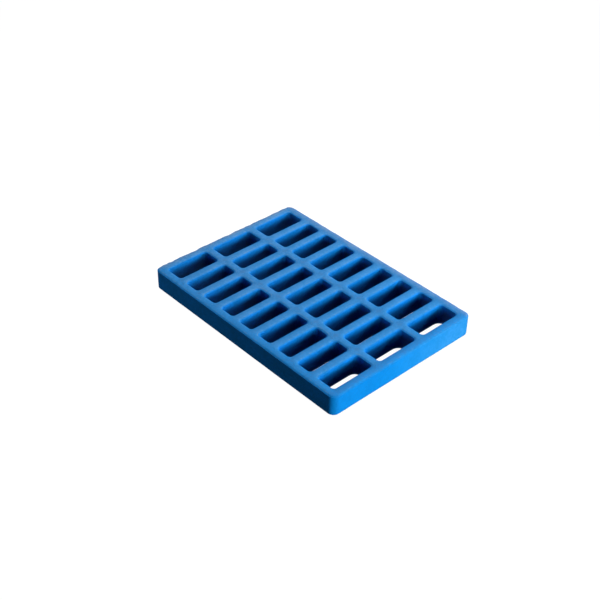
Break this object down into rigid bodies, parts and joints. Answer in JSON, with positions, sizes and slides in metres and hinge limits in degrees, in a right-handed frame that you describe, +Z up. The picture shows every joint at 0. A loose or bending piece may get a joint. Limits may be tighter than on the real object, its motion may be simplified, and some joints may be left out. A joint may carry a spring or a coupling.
{
  "type": "plug tray",
  "caption": "Thick blue cast tray of open-bottomed rectangular cells in a straight grid, stiffened by steel bars and rods inside its webs.",
  "frame": {"origin": "middle of the underside", "axes": "+Z up, +X along the length of the tray, +Y across it, along the cells"},
  "size_m": [0.3002, 0.2096, 0.0254],
  "materials": {
    "urethane": "satin cast blue polyurethane, coloured through",
    "steel": "plain mild steel, hidden inside the casting"
  },
  "bodies": {
    "root": {"tray_body": "urethane", "side_bar_left": "steel", "side_bar_right": "steel", "end_bar_front": "steel", "end_bar_back": "steel", "rib_bar_1": "steel", "rib_bar_2": "steel", "cross_rod_1": "steel", "cross_rod_2": "steel", "cross_rod_3": "steel", "cross_rod_4": "steel", "cross_rod_5": "steel", "cross_rod_6": "steel", "cross_rod_7": "steel", "cross_rod_8": "steel"}
  },
  "joints": []
}
